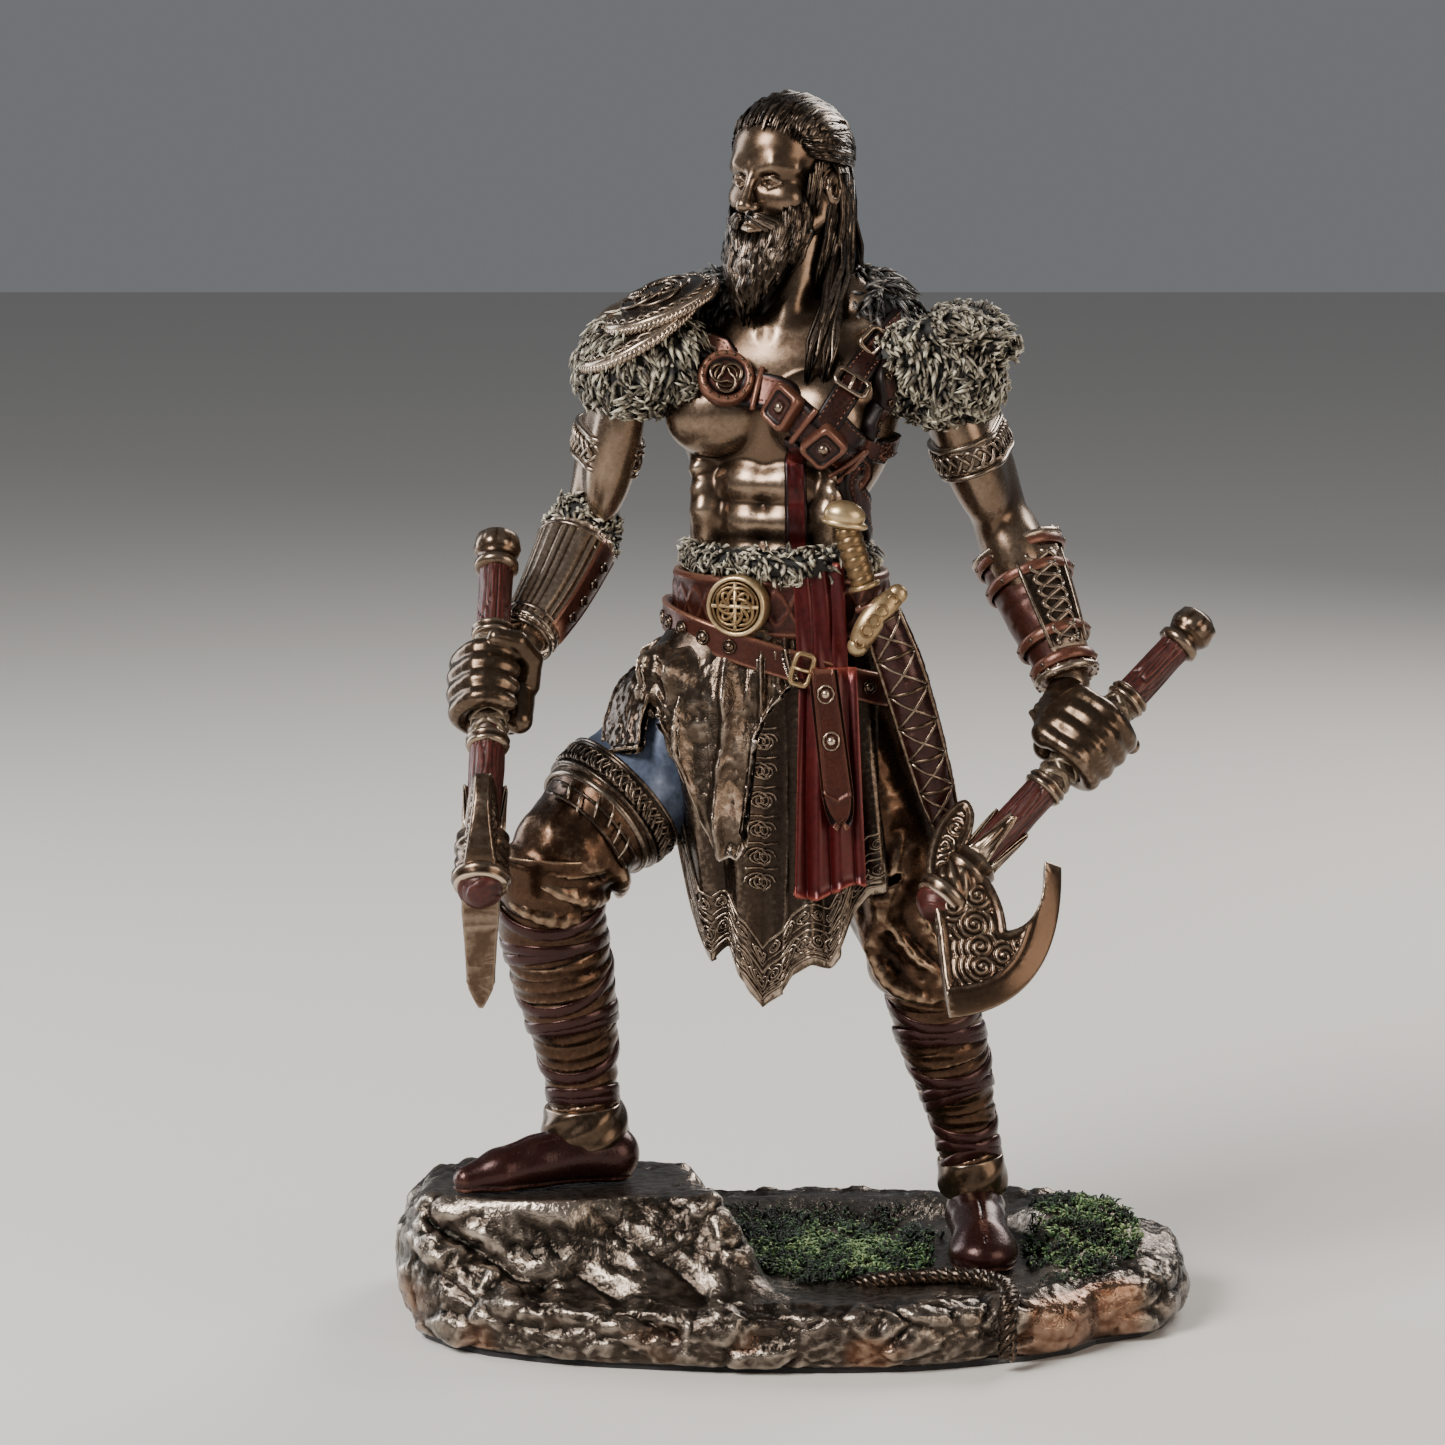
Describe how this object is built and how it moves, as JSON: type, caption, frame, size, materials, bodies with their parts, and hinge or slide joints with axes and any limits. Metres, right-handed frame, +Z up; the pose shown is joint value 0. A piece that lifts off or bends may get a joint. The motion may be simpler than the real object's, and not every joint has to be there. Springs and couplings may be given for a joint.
{
  "type": "viking warrior statue",
  "caption": "Cold-cast bronze figurine of a bearded viking warrior in furs, an axe in each fist, one foot up on a rock of its oval base.",
  "frame": {"origin": "the middle of the felt's underside, where the statue meets the table", "axes": "+Z up from the table to the top of the hair, +X towards the warrior's own left hand, -Y towards the viewer"},
  "size_m": [0.1979, 0.134, 0.2953],
  "materials": {
    "antique_bronze": "dark antiqued bronze, dry-brushed bright on the raised parts",
    "red_wood": "satin red-brown paint over carved wood grain, bronze fittings",
    "bronze_rock": "dark antiqued bronze rock with green moss paint",
    "black_felt": "thin black felt"
  },
  "bodies": {
    "root": {"warrior": "antique_bronze", "right_axe": "red_wood", "left_axe": "red_wood", "rock_base": "bronze_rock", "felt_underside": "black_felt"}
  },
  "joints": []
}
